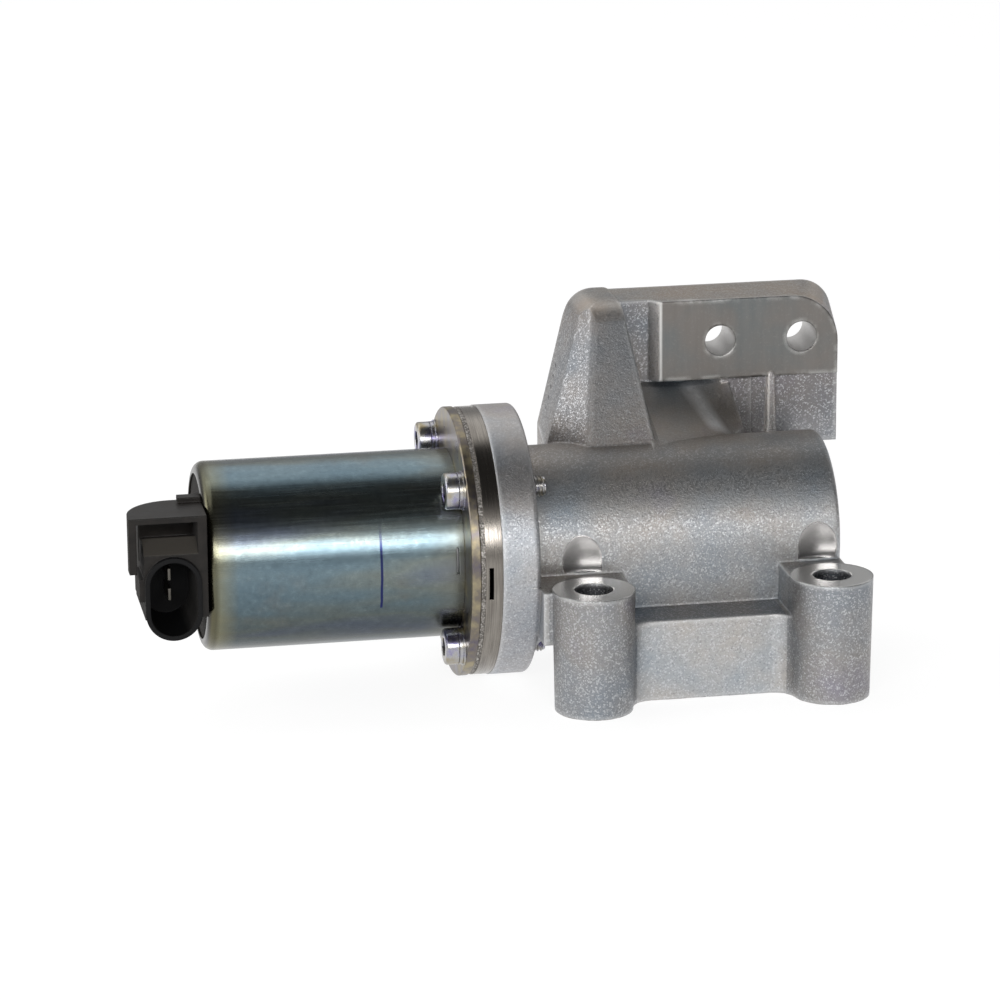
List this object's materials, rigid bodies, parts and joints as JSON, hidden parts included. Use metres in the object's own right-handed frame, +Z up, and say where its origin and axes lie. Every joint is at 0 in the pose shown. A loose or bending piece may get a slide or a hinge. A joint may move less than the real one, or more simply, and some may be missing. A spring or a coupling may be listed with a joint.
{
  "type": "exhaust gas recirculation valve",
  "caption": "Solenoid exhaust gas recirculation valve with a cast aluminium body, bolt-down foot, upright port plate, screwed flange stack, plated coil can and oval plug socket.",
  "frame": {"origin": "midway between the two foot bolt holes, on the foot's seating face", "axes": "+X along the valve axis from the connector to the closed end of the barrel, +Z up out of the foot, -Y towards the side of the two tall foot bosses"},
  "size_m": [0.177, 0.0775, 0.083],
  "materials": {
    "cast_aluminium": "as cast with machined faces",
    "machined_steel": "turned",
    "heat_gasket": "rough embossed",
    "plated_steel": "zinc plated with an iridescent passivation",
    "screw_steel": "zinc plated",
    "soft_iron": "satin",
    "valve_steel": "ground",
    "guide_bronze": "sintered",
    "copper_wire": "enamelled",
    "bobbin_plastic": "natural",
    "shim_plastic": "natural",
    "black_plastic": "moulded, slightly glossy",
    "seal_rubber": "smooth",
    "contact_metal": "tinned"
  },
  "bodies": {
    "housing": {"valve_body": "cast_aluminium", "spacer_ring": "machined_steel", "flange_gasket": "heat_gasket", "flange_plate": "plated_steel", "flange_screws": "screw_steel", "spring_washers": "screw_steel", "flat_washers": "screw_steel", "solenoid_can": "plated_steel", "fixed_pole": "soft_iron", "front_pole": "soft_iron", "coil_bobbin": "bobbin_plastic", "coil_winding": "copper_wire", "armature_sleeve": "valve_steel", "stop_shim": "shim_plastic", "valve_seat": "valve_steel", "stem_carrier": "machined_steel", "stem_bush": "guide_bronze", "stem_scraper": "machined_steel", "return_spring": "valve_steel", "end_cap": "black_plastic", "cap_seal": "seal_rubber", "connector_terminals": "contact_metal"},
    "valve": {"armature": "soft_iron", "valve_stem": "valve_steel", "valve_poppet": "valve_steel", "spring_retainer": "machined_steel", "retainer_clip": "valve_steel"}
  },
  "joints": [
    {"name": "valve_lift", "type": "slide", "parent": "housing", "child": "valve", "axis": [-1, 0, 0], "range_m": [0, 0.005], "stiffness_N_per_m": 4000, "springref_m": -0.0075, "deforming": ["return_spring"]}
  ]
}
